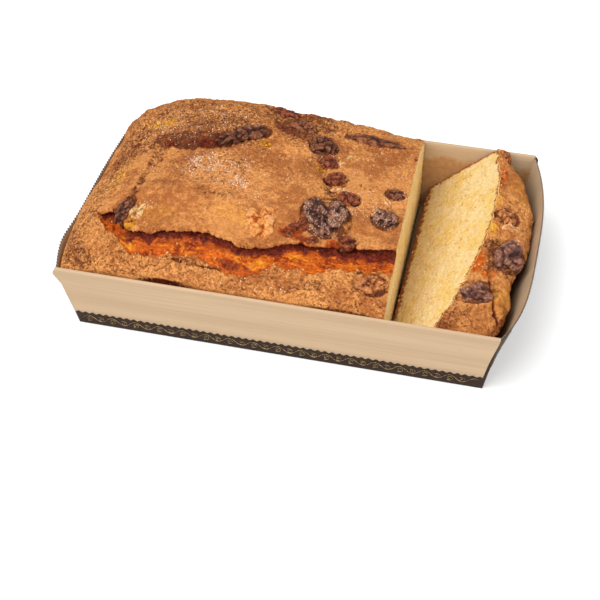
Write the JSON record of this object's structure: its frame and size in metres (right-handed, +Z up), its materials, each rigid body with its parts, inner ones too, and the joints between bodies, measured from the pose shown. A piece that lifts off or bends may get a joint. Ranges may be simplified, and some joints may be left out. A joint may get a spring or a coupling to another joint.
{
  "type": "walnut sponge loaf in a baking case",
  "caption": "Domed sponge loaf with walnuts and a split crust in a folded paperboard case, part cut, its end piece leaning inside.",
  "frame": {"origin": "middle of the case's underside", "axes": "+X along the case towards the cut end, +Y across it away from the long front split, +Z up"},
  "size_m": [0.2185, 0.1382, 0.0671],
  "materials": {
    "board": "pale kraft paperboard, dry and fibrous",
    "crust": "golden brown baked crust over pale yellow crumb",
    "walnut": "dark roasted walnut skin",
    "walnut_red": "red brown roasted walnut skin"
  },
  "bodies": {
    "root": {"case": "board", "loaf": "crust", "heel": "crust", "walnut_split_end": "walnut", "walnut_crown_long": "walnut", "walnut_back_ridge": "walnut_red", "walnut_back_brown": "walnut_red", "walnut_crown_dark": "walnut", "walnut_chip_a": "walnut_red", "walnut_chip_b": "walnut_red", "walnut_chip_c": "walnut_red", "walnut_heart": "walnut", "walnut_split_chip": "walnut_red", "walnut_edge_chip": "walnut_red", "walnut_edge": "walnut", "walnut_front": "walnut", "walnut_back_long": "walnut_red", "walnut_veiled": "walnut", "walnut_heel_big": "walnut", "walnut_heel_cut": "walnut", "walnut_heel_small": "walnut"}
  },
  "joints": []
}
